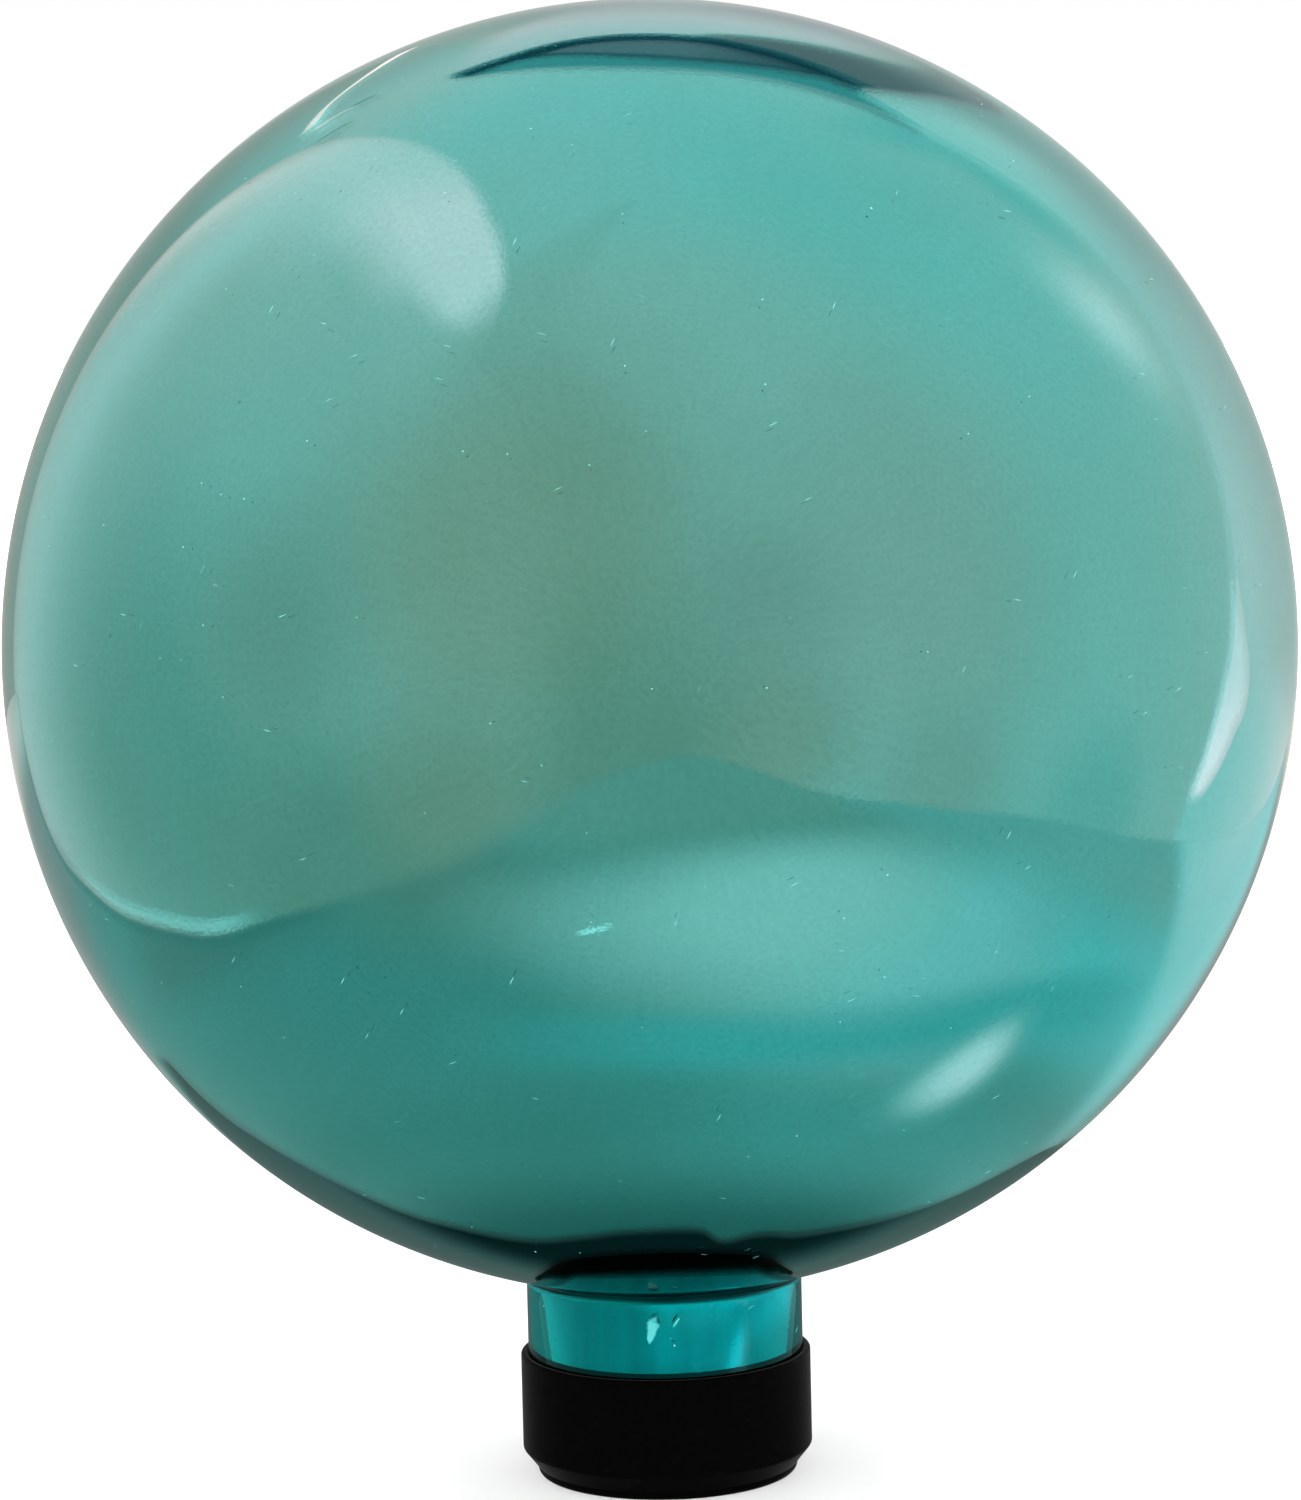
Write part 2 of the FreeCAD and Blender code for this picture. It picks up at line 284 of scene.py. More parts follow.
class Value:
    """A number in a node tree that adds, multiplies and blends as plain numbers do."""

    def __init__(self, tree, socket):
        self.tree = tree
        self.socket = socket

    def calculate(self, operation, *others):
        node = self.tree.nodes.new("ShaderNodeMath")
        node.operation = operation
        for socket, value in zip(node.inputs, (self, *others)):
            if isinstance(value, Value):
                self.tree.links.new(value.socket, socket)
            else:
                socket.default_value = value
        return Value(self.tree, node.outputs[0])

    def __add__(self, other):
        return self.calculate("ADD", other)

    def __sub__(self, other):
        return self.calculate("SUBTRACT", other)

    def __mul__(self, other):
        return self.calculate("MULTIPLY", other)

    def __truediv__(self, other):
        return self.calculate("DIVIDE", other)

    def __neg__(self):
        return self * -1

    def __abs__(self):
        return self.calculate("ABSOLUTE")

    def inverted(self):
        return -self + 1

    def squared(self):
        return self * self

    def either(self, other):
        """The greater of two shares, for a shape that lies where either does."""
        return self.calculate("MAXIMUM", other)

    def traced(self, points):
        """How high a smooth line through the points runs where this value is along it."""
        along, across = zip(*points)
        low, span = min(along), max(along) - min(along)
        floor, rise = min(across), max(across) - min(across)
        node = self.tree.nodes.new("ShaderNodeFloatCurve")
        line = node.mapping.curves[0]
        places = sorted(((x - low) / span, (y - floor) / rise) for x, y in points)
        line.points[0].location, line.points[-1].location = places[0], places[-1]
        for place in places[1:-1]:
            line.points.new(*place)
        node.mapping.extend = "HORIZONTAL"
        node.mapping.update()
        self.tree.links.new(((self - low) / span).socket, node.inputs["Value"])
        return Value(self.tree, node.outputs[0]) * rise + floor

    def bell(self, middle, width):
        """1 at the middle, falling away on both sides as a bell curve does."""
        offset = (self - middle) / width
        return (-(offset.squared())).calculate("EXPONENT")

    def rises(self, low, high):
        """0 below low and 1 above high, with a soft step between them."""
        node = self.tree.nodes.new("ShaderNodeMapRange")
        node.interpolation_type = "SMOOTHSTEP"
        self.tree.links.new(self.socket, node.inputs["Value"])
        node.inputs["From Min"].default_value = low
        node.inputs["From Max"].default_value = high
        return Value(self.tree, node.outputs["Result"])

    def falls(self, low, high):
        """1 below low and 0 above high."""
        return self.rises(low, high).inverted()

    def between(self, low, high, soft):
        """1 between low and high, with soft edges of that width."""
        return self.rises(low - soft / 2, low + soft / 2) * self.falls(high - soft / 2, high + soft / 2)


def blended(tree, under, over, share):
    """A colour socket: under where share is 0 and over where it is 1. Each is a socket or three numbers."""
    node = tree.nodes.new("ShaderNodeMix")
    node.data_type = "RGBA"
    node.inputs["Factor"].default_value = 0
    tree.links.new(share.socket, node.inputs["Factor"])
    for name, colour in (("A", under), ("B", over)):
        socket = next(each for each in node.inputs if each.name == name and each.type == "RGBA")
        if isinstance(colour, tuple):
            socket.default_value = (*colour, 1)
        else:
            tree.links.new(colour, socket)
    return next(each for each in node.outputs if each.type == "RGBA")


def directions(tree):
    """Where a world shader looks, in degrees: azimuth, elevation and the azimuth seen from behind.

    Azimuth 0 is towards the camera's side and grows to the right. Behind is 0 straight past the ball and
    grows to the right too.
    """
    place = tree.nodes.new("ShaderNodeTexCoord")
    split = tree.nodes.new("ShaderNodeSeparateXYZ")
    tree.links.new(place.outputs["Generated"], split.inputs[0])
    x, y, z = (Value(tree, split.outputs[name]) for name in "XYZ")
    azimuth = x.calculate("ARCTAN2", -y) * math.degrees(1)
    behind = x.calculate("ARCTAN2", y) * math.degrees(1)
    elevation = z.calculate("ARCSINE") * math.degrees(1)
    return azimuth, elevation, behind, (x, y, z)


def lobe(axes, azimuth, elevation, inner, outer):
    """1 within inner degrees of a direction, falling to 0 at outer degrees."""
    turn, tilt = math.radians(azimuth), math.radians(elevation)
    level = math.cos(tilt)
    towards = (math.sin(turn) * level, -math.cos(turn) * level, math.sin(tilt))
    along = axes[0] * towards[0] + axes[1] * towards[1] + axes[2] * towards[2]
    angle = along.calculate("ARCCOSINE") * math.degrees(1)
    return angle.falls(inner, outer)


def broad_room(tree, azimuth, elevation, axes):
    """The cloth round the set and the room past the camera, as broad areas that run into each other."""
    colour = blended(tree, (1.02, 0.88, 0.82), (1.36, 0.9, 0.82), elevation.rises(-10, 60))
    areas = (
        (176, 64, 6, 46, (0.9, 1.06, 1.05)),  # pale cloth above and behind
        (-130, 80, 2, 26, (1.24, 0.99, 0.94)),  # the warmer middle of it, overhead
        (-148, 4, 6, 30, (0.88, 0.9, 0.86)),  # pale cloth behind on the left
        (-98, -14, 8, 48, (0.59, 0.58, 0.5)),  # dull cloth low on the left
        (-60, -34, 10, 40, (0.6, 0.52, 0.42)),  # its foot, nearer the camera
        (-24, 20, 12, 54, (1.25, 0.65, 0.51)),  # the dim warm room past the camera
        (-68, 6, 2, 28, (0.87, 0.62, 0.52)),  # a shaded fold between them
        (44, 12, 10, 50, (1.37, 0.78, 0.69)),  # warm cloth on the right
        (20, 12, 2, 20, (1.12, 0.67, 0.58)),  # a fold in it
        (20, -10, 4, 22, (1.1, 0.63, 0.52)),  # the dim lower middle
        (102, 6, 6, 44, (1.16, 0.92, 0.85)),  # and pinker cloth beyond it
        (124, 54, 12, 50, (0.88, 0.98, 0.93)),  # cool cloth above on the right
        (-34, -20, 2, 28, (1.0, 0.57, 0.45)),  # the floor in front, on the left
        (52, -18, 4, 18, (1.1, 0.72, 0.64)),  # and on the right
        (88, -22, 4, 17, (0.72, 0.79, 0.73)),  # a dull fold beside the table
        (180, 4, 16, 36, (0.55, 0.62, 0.58)),  # grey shade straight behind
    )
    for direction, height, inner, outer, tone in areas:
        colour = blended(tree, colour, tone, lobe(axes, direction, height, inner, outer) * 0.92)
    fold = azimuth - elevation.traced(FOLD)
    shade = fold.rises(-34, -14) * fold.falls(-4, 19)
    return blended(tree, colour, (0.7, 0.49, 0.37), shade * (elevation.falls(-14, 28) * 0.64 + 0.14))


def soft_box(tree, colour, azimuth, elevation):
    """The big soft light on the left: a bright arched bar with a sharp outer edge, over a duller sheet."""
    depth = azimuth.traced(SOFT_BOX_TOP) - elevation
    ends = azimuth.rises(-153, -148) * azimuth.falls(-64, -42)
    sheet = depth.rises(-1, 1.5) * ends
    colour = blended(tree, colour, (1.52, 0.98, 0.9), sheet * depth.falls(8, 40) * 0.55)
    column = azimuth.falls(-140, -120) * elevation.rises(-18, 44) * elevation.falls(30, 60)
    colour = blended(tree, colour, (1.52, 1.18, 1.18), column * azimuth.rises(-149, -133) * 0.84)
    glow = sheet * depth.falls(8, 31) * azimuth.falls(-124, -96)
    colour = blended(tree, colour, (2.2, 1.26, 1.25), glow * 0.8)
    bar = sheet * depth.falls(8, 20.5) * azimuth.rises(-142, -104)
    blunt = azimuth.falls(-92, -66).either(elevation.rises(53, 60))
    return blended(tree, colour, (3.3, 1.36, 1.38), bar * blunt)


def side_sheet(tree, colour, behind, elevation):
    """The white sheet behind on the right, with the bright sliver of light at its near edge."""
    near = elevation.traced(SHEET_NEAR_EDGE) - behind
    shade = near.between(-9, 1, 6) * elevation.between(30, 52, 14)
    colour = blended(tree, colour, (0.58, 0.9, 0.87), shade)

    low = elevation.falls(-13, -5)
    tone = blended(tree, (0.58, 0.67, 0.64), (1.19, 1.0, 0.98), (behind + low * 16).rises(18, 48))
    tone = blended(tree, tone, (1.1, 1.08, 1.07), elevation.falls(-13, -4))
    tone = blended(tree, tone, (1.08, 1.12, 1.08), elevation.rises(16, 34) * behind.rises(19, 30))
    glow = behind.bell(51, 7) * elevation.bell(3, 10)
    tone = blended(tree, tone, (1.55, 1.1, 1.1), glow * 0.9)
    sheet = near.rises(-0.5, 0.5) * (behind - elevation.traced(SHEET_FAR_EDGE)).rises(-1, 1)
    colour = blended(tree, colour, tone, sheet * elevation.falls(42, 44) * elevation.rises(-50, -36))

    sliver = near.rises(-0.4, 0.4) * (behind - elevation.traced(SLIVER_EDGE)).rises(-0.5, 0.7)
    light = blended(tree, (3.7, 1.66, 1.76), (2.45, 1.4, 1.44), elevation.rises(-14, -5))
    return blended(tree, colour, light, sliver * elevation.between(-17, 2.5, 2))


def patch_behind(tree, colour, behind, elevation):
    """What stands straight behind: a pale panel on the left, a lit patch and a dark wedge beside it."""
    panel = behind.between(-29.5, -9, 1.6) * elevation.falls(28, 42) * elevation.rises(-40, -20)
    tone = blended(tree, (0.48, 0.54, 0.49), (0.84, 0.92, 0.89), elevation.rises(14, 38))
    colour = blended(tree, colour, tone, panel)

    wedge_left = elevation.traced(WEDGE_LEFT)
    patch = (behind - elevation.traced(PATCH_LEFT)).rises(-1.5, 3) * (wedge_left - behind).rises(-1, 3)
    tone = blended(tree, (0.7, 0.7, 0.72), (1.26, 0.98, 1.0), elevation.rises(15, 31))
    colour = blended(tree, colour, tone, patch * elevation.falls(39, 41) * elevation.rises(2, 14))
    wedge_right = elevation.traced(WEDGE_RIGHT)
    wedge = (behind - wedge_left).rises(-0.6, 1.4) * (wedge_right - behind).rises(-0.8, 0.8)
    tone = blended(tree, (0.5, 0.48, 0.48), (0.3, 0.27, 0.29), elevation.rises(16, 34))
    return blended(tree, colour, tone, wedge * elevation.between(13, 42, 5))


def gap_behind(tree, colour, behind, elevation):
    """A dark almond-shaped gap high up behind, with a darker lens and a slot in it."""
    above_foot = (elevation - behind.traced(GAP_FOOT)).rises(-0.5, 0.5)
    gap = (behind.traced(GAP_TOP) - elevation).rises(-0.6, 0.9) * above_foot
    colour = blended(tree, colour, (0.17, 0.5, 0.51), gap * behind.between(-18.6, 33.5, 1))
    lens_top = behind.traced(LENS_TOP)
    lens = (lens_top - elevation).rises(-0.4, 0.8) * above_foot * behind.between(-12.5, 21.5, 1)
    tone = blended(tree, (0.27, 0.31, 0.35), (0.15, 0.2, 0.24), behind.rises(4, 16))
    colour = blended(tree, colour, tone, lens)
    rim = (elevation - lens_top).between(-0.7, 0.7, 0.9) * behind.between(-13, 20, 3)
    colour = blended(tree, colour, (0.05, 0.14, 0.17), rim)
    slot = (elevation - behind.traced(SLOT)).between(-1.7, 1.7, 1.2)
    return blended(tree, colour, (0.01, 0.08, 0.11), slot * behind.between(-17.8, 23, 1.5))


def stroke(distance, width, inner=0.4):
    """1 along a line, falling away beside it, from the distance to its middle."""
    return (abs(distance) / width).falls(inner, 1.3)


def cord(tree, colour, behind, elevation):
    """A bright bent cord that hangs behind on the left, with a short frayed strand and its shade."""
    width = elevation.rises(24, 28) * 0.4 + 0.4
    lit = stroke(behind - elevation.traced(CORD), width, 0.5) * elevation.between(14.8, 28.8, 0.8)
    strand = elevation - behind.traced(STRAND)
    frayed = stroke(strand, 0.6) * behind.between(-24.6, -21.8, 0.8)
    shade = stroke(strand + 0.3, 0.5) * behind.between(-22.8, -20.2, 0.6)
    crease = elevation - behind * 0.78 - 57.75
    shade = shade.either(stroke(crease, 0.5) * behind.between(-29.2, -26.6, 0.6))
    colour = blended(tree, colour, (0.12, 0.26, 0.25), shade)
    return blended(tree, colour, (2.6, 1.9, 1.8), lit.either(frayed * 0.75))


def studio(tree):
    """The room as the ball mirrors it."""
    azimuth, elevation, behind, axes = directions(tree)
    colour = broad_room(tree, azimuth, elevation, axes)
    colour = soft_box(tree, colour, azimuth, elevation)
    colour = side_sheet(tree, colour, behind, elevation)
    colour = patch_behind(tree, colour, behind, elevation)
    colour = gap_behind(tree, colour, behind, elevation)
    colour = cord(tree, colour, behind, elevation)
    soft_lamp = behind.bell(57, 7) * (elevation - (behind - 57) * 0.4).bell(28, 7.5)
    return blended(tree, colour, (2.3, 1.36, 1.35), soft_lamp * 0.9)


def make_world():
    """Plain soft light from all round, and the mirrored room for the light that has met a mirror."""
    world = bpy.data.worlds.new("studio")
    world.use_nodes = True
    world.cycles.sampling_method = "NONE"
    tree = world.node_tree
    tree.nodes.clear()
    path = tree.nodes.new("ShaderNodeLightPath")
    seen = Value(tree, path.outputs["Is Camera Ray"]) + Value(tree, path.outputs["Is Transmission Ray"])
    plain = tree.nodes.new("ShaderNodeBackground")
    tree.links.new(blended(tree, STUDIO_LIGHT, BACKDROP, seen), plain.inputs["Color"])
    mirrored = tree.nodes.new("ShaderNodeBackground")
    tree.links.new(studio(tree), mirrored.inputs["Color"])
    mix = tree.nodes.new("ShaderNodeMixShader")
    tree.links.new(mirrored_share(tree).socket, mix.inputs[0])
    tree.links.new(plain.outputs[0], mix.inputs[1])
    tree.links.new(mirrored.outputs[0], mix.inputs[2])
    output = tree.nodes.new("ShaderNodeOutputWorld")
    tree.links.new(mix.outputs[0], output.inputs["Surface"])
    bpy.context.scene.world = world


def make_camera():
    """The camera at the photograph's place, turned so that the ball's outline lands where it was measured."""
    focal = OUTLINE_RADIUS * math.sqrt(CAMERA_DISTANCE**2 - BALL_RADIUS**2) / BALL_RADIUS
    data = bpy.data.cameras.new("camera")
    data.lens = focal * data.sensor_width / FRAME_HEIGHT
    camera = bpy.data.objects.new("camera", data)
    bpy.context.scene.collection.objects.link(camera)
    away = Vector((0, -math.cos(CAMERA_ELEVATION), math.sin(CAMERA_ELEVATION)))
    camera.location = CENTRE + away * CAMERA_DISTANCE
    facing = (-away).to_track_quat("-Z", "Y")
    across = (OUTLINE_CENTRE[0] - FRAME_WIDTH / 2) / focal
    upward = (FRAME_HEIGHT / 2 - OUTLINE_CENTRE[1]) / focal
    aim = Vector((across, upward, -1)).rotation_difference(Vector((0, 0, -1)))
    camera.rotation_mode = "QUATERNION"
    camera.rotation_quaternion = facing @ Quaternion((0, 0, 1), CAMERA_ROLL) @ aim
    bpy.context.scene.camera = camera


def new_material(name):
    material = bpy.data.materials.new(name)
    material.use_nodes = True
    tree = material.node_tree
    return material, tree, tree.nodes["Principled BSDF"]


def object_place(tree):
    """The place of a point in the object's own frame, as a vector in metres."""
    return tree.nodes.new("ShaderNodeTexCoord").outputs["Object"]


def in_millimetres(tree, place):
    """The three numbers of a place, in millimetres."""
    split = tree.nodes.new("ShaderNodeSeparateXYZ")
    tree.links.new(place, split.inputs[0])
    return [Value(tree, split.outputs[name]) / MM for name in "XYZ"]


def noise(tree, place, size, detail=2, stretch=(1, 1, 1)):
    """A soft noise between 0 and 1 whose patches are about that large in metres."""
    mapping = tree.nodes.new("ShaderNodeMapping")
    mapping.inputs["Scale"].default_value = [1 / (size * factor) for factor in stretch]
    tree.links.new(place, mapping.inputs["Vector"])
    node = tree.nodes.new("ShaderNodeTexNoise")
    node.inputs["Scale"].default_value = 1
    node.inputs["Detail"].default_value = detail
    tree.links.new(mapping.outputs[0], node.inputs["Vector"])
    return Value(tree, node.outputs["Fac"])


def specks(tree, place, spacing, radius, share):
    """1 in small round specks, thrown about at that spacing, of which only a share is there."""
    node = tree.nodes.new("ShaderNodeTexVoronoi")
    node.inputs["Scale"].default_value = 1 / spacing
    tree.links.new(place, node.inputs["Vector"])
    split = tree.nodes.new("ShaderNodeSeparateColor")
    tree.links.new(node.outputs["Color"], split.inputs[0])
    chosen = Value(tree, split.outputs["Red"]).falls(share - 0.01, share + 0.01)
    return Value(tree, node.outputs["Distance"]).falls(0.5 * radius / spacing, radius / spacing) * chosen


def slanted(tree, place, tilt, length, width):
    """The place turned and squeezed so that round specks of radius 1 come out as slanting strokes."""
    mapping = tree.nodes.new("ShaderNodeMapping")
    mapping.vector_type = "TEXTURE"
    mapping.inputs["Rotation"].default_value = (0, math.radians(tilt), 0)
    mapping.inputs["Scale"].default_value = (length, length, width)
    tree.links.new(place, mapping.inputs["Vector"])
    return mapping.outputs[0]


def bumped(tree, shader, height, distance):
    """Gives a shader's surface the relief of a height between 0 and 1 that stands for that distance."""
    node = tree.nodes.new("ShaderNodeBump")
    node.inputs["Distance"].default_value = distance
    tree.links.new(height.socket, node.inputs["Height"])
    tree.links.new(node.outputs[0], shader.inputs["Normal"])


def neck_tint_and_painted_light(tree, place, tint, x, y, z):
    """The deeper colour of the thick neck, faintly streaked, with painted shade and a painted dark line at
    its top and painted light on its sides, palest on the left.
    """
    neck = z.falls(45.5, 48)
    tint = blended(tree, tint, (0.0005, 0.38, 0.425), neck)
    # Painted shade at the neck's top, and a painted dark line below it.
    tint = blended(tree, tint, (0.0005, 0.062, 0.065), z.rises(39.5, 40.5) * neck)
    painted_dark_line = z.between(39.5, 41.1, 0.4) * (x.rises(-12, 6) * 0.7 + 0.25)
    tint = blended(tree, tint, (0.0005, 0.02, 0.025), painted_dark_line)
    streaks = noise(tree, place, 5 * MM, 3, (1, 1, 9)).rises(0.35, 0.7) * neck
    tint = blended(tree, tint, (0.0005, 0.26, 0.29), streaks * z.falls(37, 41) * 0.7)
    # Painted light on the neck's sides, and palest on its left side.
    painted_lit_sides = abs(x).rises(16, 26.2) * neck
    tint = blended(tree, tint, (0.0005, 0.56, 0.63), painted_lit_sides * z.falls(36, 41))
    painted_lit_left = (y - (z - 26) * 0.35).between(-16, 4, 5) * x.falls(-20, -12) * neck
    return blended(tree, tint, (0.0005, 1.0, 1.0), painted_lit_left * z.falls(38, 40) * 0.85)


def neck_painted_highlights(tree, place, x, y, z):
    """1 in a pale painted highlight on the front of the neck and in a small painted highlight tick beside it.
    """
    across = (x - (z - 34.5) * 0.2 + 2.6) / ((z - 29.5) * 0.28)
    highlight_blob = across.squared() + ((z - 34.5) / 3.7).squared()
    highlight_blob = highlight_blob + noise(tree, place, 1.6 * MM, 3) * 1.3
    highlight_tick = ((x - (z - 36) * 0.7 - 2.2) / 0.3).squared() + (z - 36).squared()
    return highlight_blob.falls(0.9, 1.4).either(highlight_tick.falls(0.3, 1.2)) * y.falls(-20, -15)


def dust_and_scratches(tree, place):
    """1 in the fine and coarse dust on the glass and in its short scratches."""
    dust = specks(tree, place, 4 * MM, 0.19 * MM, 0.3)
    dust = dust.either(specks(tree, place, 13 * MM, 0.28 * MM, 0.3))
    for slant in SCRATCH_SLANTS:
        strokes = slanted(tree, place, slant, 1.1 * MM, 0.085 * MM)
        dust = dust.either(specks(tree, strokes, 7, 1, 0.007))
    return dust


def glass_material():
    """Teal glass, deeper in colour down the thick neck, with painted light, shade and highlights on the neck,
    dust on it and small seeds in it.
    """
    material, tree, shader = new_material("teal_glass")
    place = object_place(tree)
    x, y, z = in_millimetres(tree, place)
    mottle = noise(tree, place, 0.9 * MM, 1).rises(0.35, 0.65)
    tint = blended(tree, (0.1, 0.452, 0.442), (0.11, 0.482, 0.472), mottle)
    tint = neck_tint_and_painted_light(tree, place, tint, x, y, z)
    seeds = specks(tree, place, 7 * MM, 0.24 * MM, 0.2)
    tint = blended(tree, tint, (0.01, 0.08, 0.08), seeds)
    # A pale painted highlight on the neck, which lets no light through.
    painted_highlight = neck_painted_highlights(tree, place, x, y, z)
    dust = dust_and_scratches(tree, place)
    tint = blended(tree, tint, (0.08, 0.42, 0.42), painted_highlight)
    tint = blended(tree, tint, (0.19, 0.46, 0.44), dust)
    tree.links.new(tint, shader.inputs["Base Color"])
    clear = painted_highlight.either(dust).inverted()
    tree.links.new(clear.socket, shader.inputs["Transmission Weight"])
    shader.inputs["Roughness"].default_value = 0
    shader.inputs["IOR"].default_value = 1.5
    shader.inputs["Specular Tint"].default_value = (0.1, 1, 1, 1)
    return material


def silver_material():
    """Silvering laid on slightly wavy blown glass, a little uneven and hazed in patches."""
    material, tree, shader = new_material("silvering")
    place = object_place(tree)
    cloudy = noise(tree, place, 34 * MM, 4)
    fine = noise(tree, place, 0.7 * MM, 2)
    colour = blended(tree, (0.9, 0.915, 0.9), (0.955, 0.96, 0.955), cloudy.rises(0.3, 0.7))
    colour = blended(tree, colour, (0.87, 0.885, 0.875), fine.rises(0.45, 0.75))
    pits = specks(tree, place, 9 * MM, 0.3 * MM, 0.3)
    tree.links.new(blended(tree, colour, (0.25, 0.3, 0.3), pits), shader.inputs["Base Color"])
    shader.inputs["Metallic"].default_value = 1
    haze = cloudy.rises(0.35, 0.75) * 0.016 + 0.008
    tree.links.new(haze.socket, shader.inputs["Roughness"])
    waves = noise(tree, place, 60 * MM, 1)
    bumped(tree, shader, waves * 0.985 + fine * 0.015, 0.3 * MM)
    return material


def rubber_material():
    """Moulded black rubber, matt, with a fine grain and a few scuffs."""
    material, tree, shader = new_material("black_rubber")
    place = object_place(tree)
    grain = noise(tree, place, 0.35 * MM, 3)
    scuffs = noise(tree, place, 2.6 * MM, 5, (1, 1, 0.25)).rises(0.62, 0.78)
    colour = blended(tree, (0.0004, 0.0006, 0.0004), (0.0009, 0.0013, 0.001), grain)
    colour = blended(tree, colour, (0.0045, 0.0056, 0.005), scuffs * 0.7)
    tree.links.new(colour, shader.inputs["Base Color"])
    tree.links.new((grain * 0.16 + 0.5).socket, shader.inputs["Roughness"])
    shader.inputs["Specular IOR Level"].default_value = 0.012
    shader.inputs["Sheen Weight"].default_value = 0.07
    shader.inputs["Sheen Roughness"].default_value = 0.3
    bumped(tree, shader, grain * 0.6 + scuffs * 0.4, 0.05 * MM)
    return material


def stage_plane(name, half_size, material):
    """A level square that only stages the object."""
    mesh = bpy.data.meshes.new(name)
    corners = ((-1, -1), (1, -1), (1, 1), (-1, 1))
    mesh.from_pydata([(x * half_size, y * half_size, 0) for x, y in corners], [], [(0, 1, 2, 3)])
    plane = bpy.data.objects.new(name, mesh)
    bpy.context.scene.collection.objects.link(plane)
    mesh.materials.append(material)


def mirrored_share(tree):
    """1 for light that has met a mirror on its way from the camera, and 0 for all other light."""
    path = tree.nodes.new("ShaderNodeLightPath")
    return Value(tree, path.outputs["Glossy Depth"]).rises(0.4, 0.6)


def show_where(tree, shader_output, share):
    """Shows a shader where share is 1 and nothing where it is 0."""
    clear = tree.nodes.new("ShaderNodeBsdfTransparent")
    mix = tree.nodes.new("ShaderNodeMixShader")
    tree.links.new(share.socket, mix.inputs[0])
    tree.links.new(clear.outputs[0], mix.inputs[1])
    tree.links.new(shader_output, mix.inputs[2])
    tree.links.new(mix.outputs[0], tree.nodes["Material Output"].inputs["Surface"])


def floor_material():
    """The pale floor. It is left out of the mirror image, where the smaller table top stands instead."""
    material, tree, shader = new_material("pale_floor")
    shader.inputs["Base Color"].default_value = (0.9, 0.9, 0.9, 1)
    shader.inputs["Roughness"].default_value = 1
    shader.inputs["Specular IOR Level"].default_value = 0
    show_where(tree, shader.outputs[0], mirrored_share(tree).inverted())
    return material


def spot(x, y, middle, radii, inner, outer):
    """1 near a place of the plan, falling to 0, with the distance counted in the spot's own radii."""
    across = ((x - middle[0]) / radii[0]).squared()
    away = ((y - middle[1]) / radii[1]).squared()
    return (across + away).calculate("SQRT").falls(inner, outer)


def table_light_and_shade(tree, x, y):
    """The broad painted light and shade of the table top, from its near corner to the back: teal light that
    the ball throws, shaded patches and pools of light.
    """
    # Teal near the ball: painted light that the ball throws on the table.
    colour = blended(tree, (0.29, 0.5, 0.46), (0.67, 0.6, 0.52), y.falls(-470, -200))
    colour = blended(tree, colour, (0.42, 0.46, 0.44), y.rises(120, 350))
    colour = blended(tree, colour, (0.85, 0.84, 0.79), y.rises(620, 1000))
    colour = blended(tree, colour, (0.3, 0.47, 0.435), x.falls(-80, 20) * y.between(-190, 0, 130))
    # Painted shade on the left and the left front.
    colour = blended(tree, colour, (0.29, 0.37, 0.33), x.falls(-262, -196) * y.falls(20, 140) * 0.8)
    colour = blended(tree, colour, (0.47, 0.46, 0.39), spot(x, y, (-195, -270), (130, 120), 0.2, 1.2))
    # Painted teal light from the ball on the right, duller further right.
    colour = blended(tree, colour, (0.4, 0.88, 0.88), x.rises(120, 200) * y.between(-100, 150, 100))
    colour = blended(tree, colour, (0.62, 0.72, 0.68), x.rises(210, 330) * y.falls(76, 100))
    lit = x - (y - 80) * 0.45 - 20
    colour = blended(tree, colour, (0.62, 1.02, 1.03), lit.rises(50, 165) * y.rises(53, 113))
    colour = blended(tree, colour, (1.14, 1.1, 1.1), lit.rises(150, 330) * y.rises(60, 106))
    # Painted pools of light in front of the ball.
    colour = blended(tree, colour, (0.96, 1.01, 1.0), spot(x, y, (172, -165), (158, 128), 0.2, 1.15) * 0.95)
    colour = blended(tree, colour, (0.95, 0.74, 0.68), spot(x, y, (-75, -265), (105, 80), 0.1, 1.2) * 0.55)
    return blended(tree, colour, (1.42, 1.07, 1.01), spot(x, y, (96, -270), (182, 122), 0.25, 1.25))


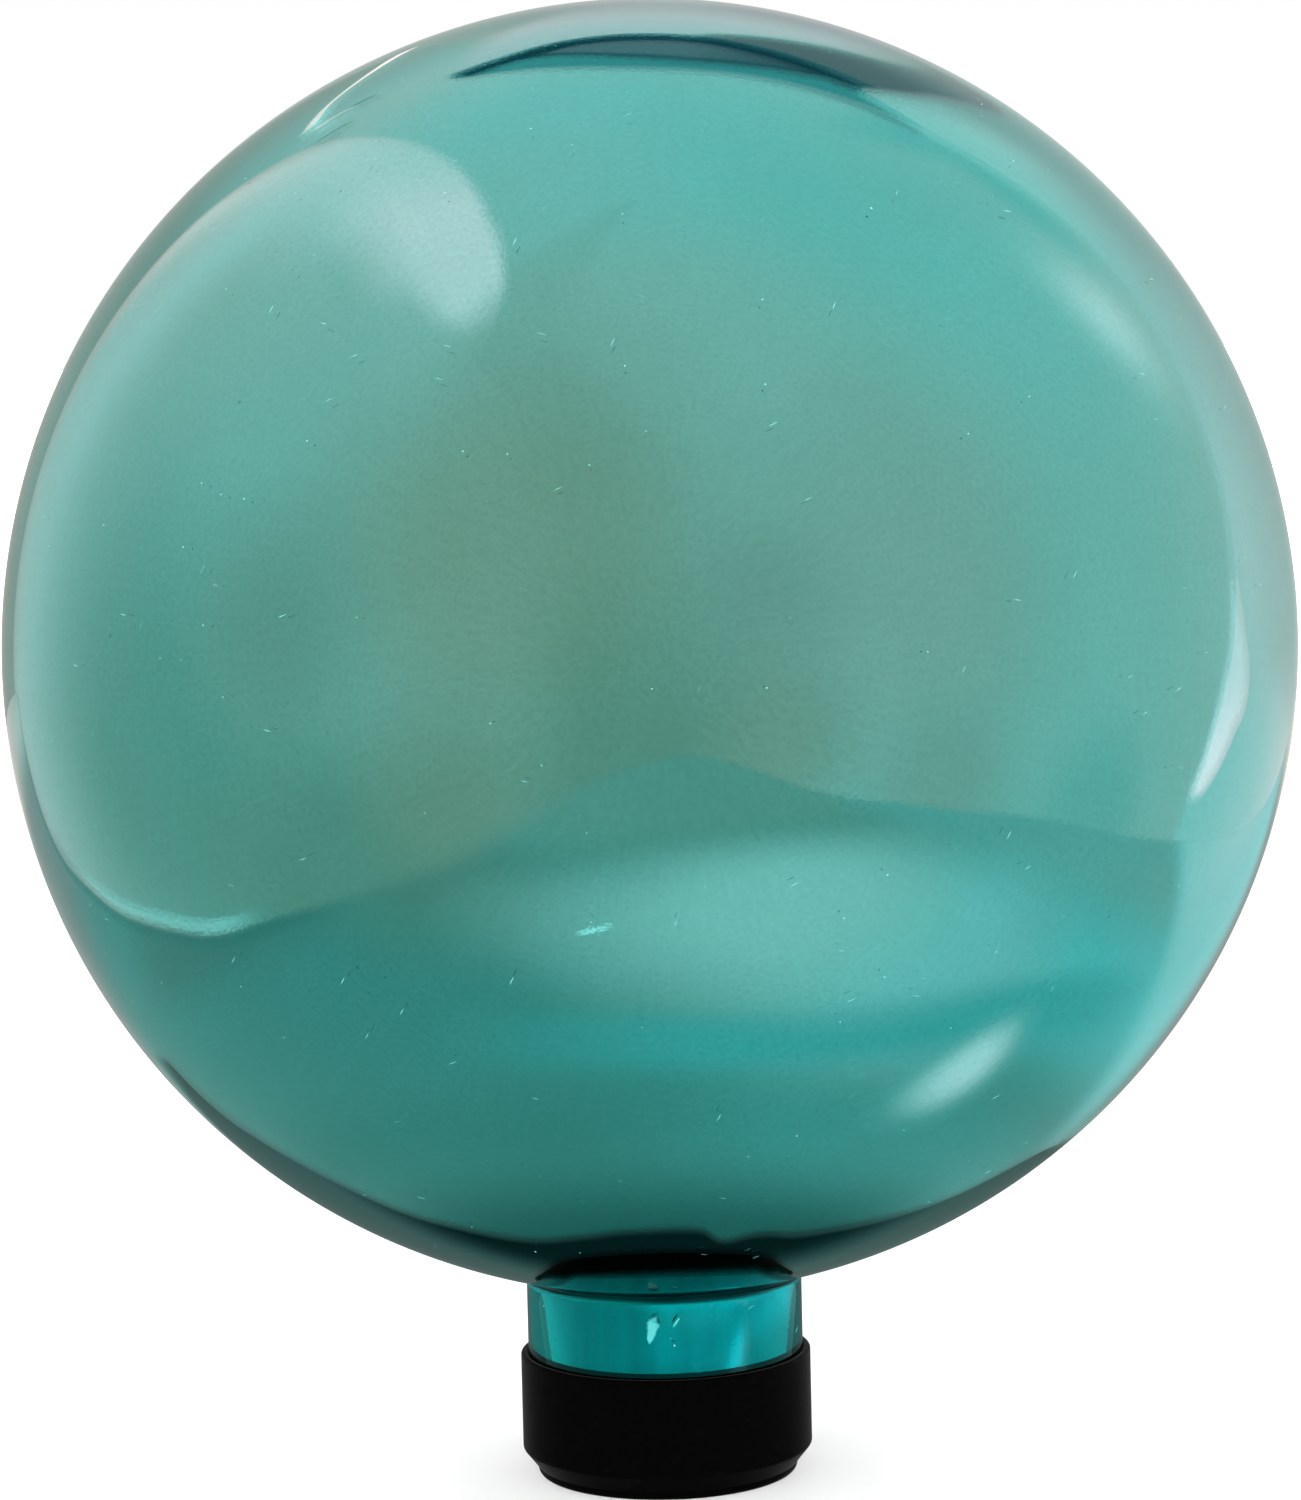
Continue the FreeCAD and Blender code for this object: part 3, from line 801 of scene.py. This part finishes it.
def under_the_ball(tree, colour, x, y):
    """The table close to the ball: a ring of painted teal light that the ball throws, a painted shaded
    middle, a painted lamp's glare and the painted shadow behind.
    """
    reach = (x.squared() + y.squared()).calculate("SQRT")
    # A ring of painted teal light that the ball throws on the table.
    thrown_teal_light = (reach - (y * 0.24 + 200)).between(-26, 22, 34) * (y - x * 0.5).rises(-230, -160)
    colour = blended(tree, colour, (0.26, 0.7, 0.69), thrown_teal_light * x.rises(-130, 60) * y.falls(-20, 90))
    # A darker middle round the foot, darker still close to it: painted shade under the ball.
    middle = blended(tree, (0.24, 0.43, 0.39), (0.3, 0.55, 0.52), x.rises(-40, 60))
    colour = blended(tree, colour, middle, reach.falls(100, 148))
    colour = blended(tree, colour, (0.07, 0.22, 0.2), reach.falls(42, 96))
    # A painted glare of a lamp beside the foot, with a paler halo round it.
    skewed = y - (x - 126) * 0.14
    colour = blended(tree, colour, (0.6, 0.79, 0.77), spot(x, skewed, (126, -70), (57, 28), 0.3, 1.1))
    colour = blended(tree, colour, (2.2, 1.33, 1.35), spot(x, skewed, (124, -70), (39, 18), 0.2, 1.15))
    shadow = (y - x.traced(SHADOW_EDGE)).rises(-3, 2.5) * x.between(-185, 120, 10)
    tone = blended(tree, (0.006, 0.022, 0.022), (0.13, 0.18, 0.17), y.rises(-8, 36))
    return blended(tree, colour, tone, shadow * reach.falls(225, 300))


def table_material():
    """The table top as the ball mirrors it, from plan places in millimetres: x to the right and y away. It
    glows with its painted light and shade instead of being lit.
    """
    material, tree, shader = new_material("mirrored_table")
    x, y, _ = in_millimetres(tree, object_place(tree))
    from_left = x - y.traced(TABLE_LEFT_EDGE)
    from_right = y.traced(TABLE_RIGHT_EDGE) - x
    soft_left = y.falls(-420, -100) * 40 + 5
    inside = (from_left / soft_left).rises(-1, 1) * (from_right / 5).rises(-1, 1) * y.rises(-806, -790)

    colour = under_the_ball(tree, table_light_and_shade(tree, x, y), x, y)
    # A painted highlight along the table's left edge, and painted shade just inside it.
    edge_highlight = from_left.between(-19, 0, 5) * y.rises(-150, -60) * y.falls(140, 420)
    colour = blended(tree, colour, (1.12, 1.03, 0.98), edge_highlight)
    edge_shade = from_left.between(3, 16, 8) * y.rises(-200, -100)
    colour = blended(tree, colour, (0.2, 0.36, 0.33), edge_shade * 0.6)
    # A small painted glint on the table in front of the ball.
    along, across = x * 0.88 - y * 0.47, x * 0.47 + y * 0.88
    glint = ((along - 82) / 15).squared() + ((across + 243) / 2.5).squared()
    colour = blended(tree, colour, (2.3, 1.9, 1.8), glint.falls(0.3, 1.2))

    light = tree.nodes.new("ShaderNodeEmission")
    tree.links.new(colour, light.inputs["Color"])
    tree.nodes.remove(shader)
    show_where(tree, light.outputs[0], inside.either(edge_highlight) * mirrored_share(tree))
    return material


def finish_piece(piece, body, node, material):
    """Gives a piece its material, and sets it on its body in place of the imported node."""
    piece.data.materials.append(material)
    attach(piece, body)
    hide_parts(node)


make_camera()
bpy.context.scene.view_settings.view_transform = "Standard"
make_world()
stage_plane("floor", FLOOR_HALF, floor_material())
stage_plane("table_top", TABLE_HALF, table_material())
glass = turned("globe_glass", glass_profile())
finish_piece(glass, "globe", "glass_globe", glass_material())
silver = turned("globe_silver", silver_profile())
finish_piece(silver, "globe", "mirror_lining", silver_material())
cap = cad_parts["rubber_cap"]
cap.data.materials.clear()
cap.data.materials.append(rubber_material())
